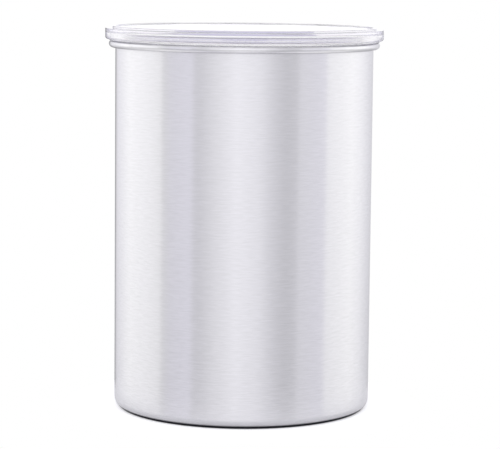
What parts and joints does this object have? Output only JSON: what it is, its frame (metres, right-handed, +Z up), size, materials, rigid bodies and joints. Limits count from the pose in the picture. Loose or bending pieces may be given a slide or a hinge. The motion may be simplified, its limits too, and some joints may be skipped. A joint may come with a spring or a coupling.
{
  "type": "coffee canister",
  "caption": "Brushed steel coffee canister with a rolled rim, a clear push-on lid and, inside, a sliding plunger lid whose fold-up handle opens an air valve.",
  "frame": {"origin": "centre of the base, on the surface that the canister stands on", "axes": "+Z up along the canister's axis, front towards -Y, the handle's axle along X"},
  "size_m": [0.1294, 0.1294, 0.178],
  "materials": {
    "steel_body": "stainless steel, fine brushing round the body",
    "clear_lid": "clear polished plastic",
    "clear_silicone": "milky clear silicone",
    "plunger_plastic": "charcoal moulded plastic, fine spark texture",
    "gasket_silicone": "satin grey silicone",
    "cover_plastic": "charcoal moulded plastic, satin",
    "handle_plastic": "black moulded plastic, satin",
    "axle_steel": "drawn stainless rod",
    "valve_plastic": "natural white acetal"
  },
  "bodies": {
    "canister": {"canister_shell": "steel_body"},
    "outer_lid": {"outer_lid": "clear_lid", "outer_lid_seal": "clear_silicone"},
    "plunger": {"plunger_disc": "plunger_plastic", "wiper_gasket": "gasket_silicone", "hub_cover": "cover_plastic"},
    "handle": {"handle_bail": "handle_plastic", "handle_axle": "axle_steel", "valve_cam": "valve_plastic", "axle_caps": "handle_plastic"},
    "valve": {"valve_stem": "valve_plastic", "valve_flap": "gasket_silicone", "stem_retainer": "valve_plastic"}
  },
  "joints": [
    {"name": "outer_lid_lift", "type": "slide", "parent": "canister", "child": "outer_lid", "axis": [0, 0, 1], "range_m": [0, 0.09]},
    {"name": "plunger_slide", "type": "slide", "parent": "canister", "child": "plunger", "axis": [0, 0, 1], "range_m": [-0.106, 0]},
    {"name": "handle_swing", "type": "hinge", "parent": "plunger", "child": "handle", "pos_m": [0, 0, 0.1328], "axis": [-1, 0, 0], "range_deg": [0, 90]},
    {"name": "valve_lift", "type": "slide", "parent": "plunger", "child": "valve", "axis": [0, 0, 1], "range_m": [0, 0.00213]}
  ],
  "couplings": [
    {"joint": "valve_lift", "follows": "handle_swing", "m_per_rad": 0.0013505}
  ]
}
